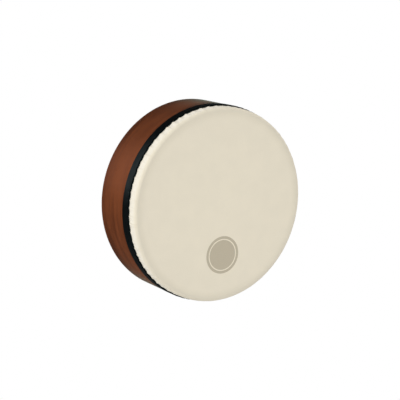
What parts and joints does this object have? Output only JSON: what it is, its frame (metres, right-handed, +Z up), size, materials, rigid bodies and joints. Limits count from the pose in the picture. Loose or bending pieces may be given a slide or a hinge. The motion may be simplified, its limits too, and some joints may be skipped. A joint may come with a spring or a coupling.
{
  "type": "frame drum",
  "caption": "Shallow round hand drum: laminated wooden shell, black band, cream film head with a printed disc on one side, open back.",
  "frame": {"origin": "centre of the drum: on its axis, halfway from the head's face to the open edge", "axes": "+Z up, with the drum upright and the printed disc low on the head; the head faces -Y and the open back faces +Y along the drum's axis; +X is to the right for a viewer who faces the head"},
  "size_m": [0.2548, 0.0826, 0.2548],
  "materials": {
    "stained_veneer": "brown stain under satin lacquer",
    "crossband_veneer": "cross-grain veneer, lacquered where it shows at the open edge",
    "core_veneer": "long-grain veneer, lacquered where it shows at the open edge",
    "inner_veneer": "brown stain under a thin sealer",
    "black_band": "black satin strip",
    "head_film": "cream translucent film with a soft matte surface",
    "print_ink": "flat grey-brown ink"
  },
  "bodies": {
    "root": {"outer_ply": "stained_veneer", "outer_crossband": "crossband_veneer", "core_ply": "core_veneer", "inner_crossband": "crossband_veneer", "inner_ply": "inner_veneer", "rim_band": "black_band", "drumhead": "head_film", "printed_disc": "print_ink"}
  },
  "joints": []
}
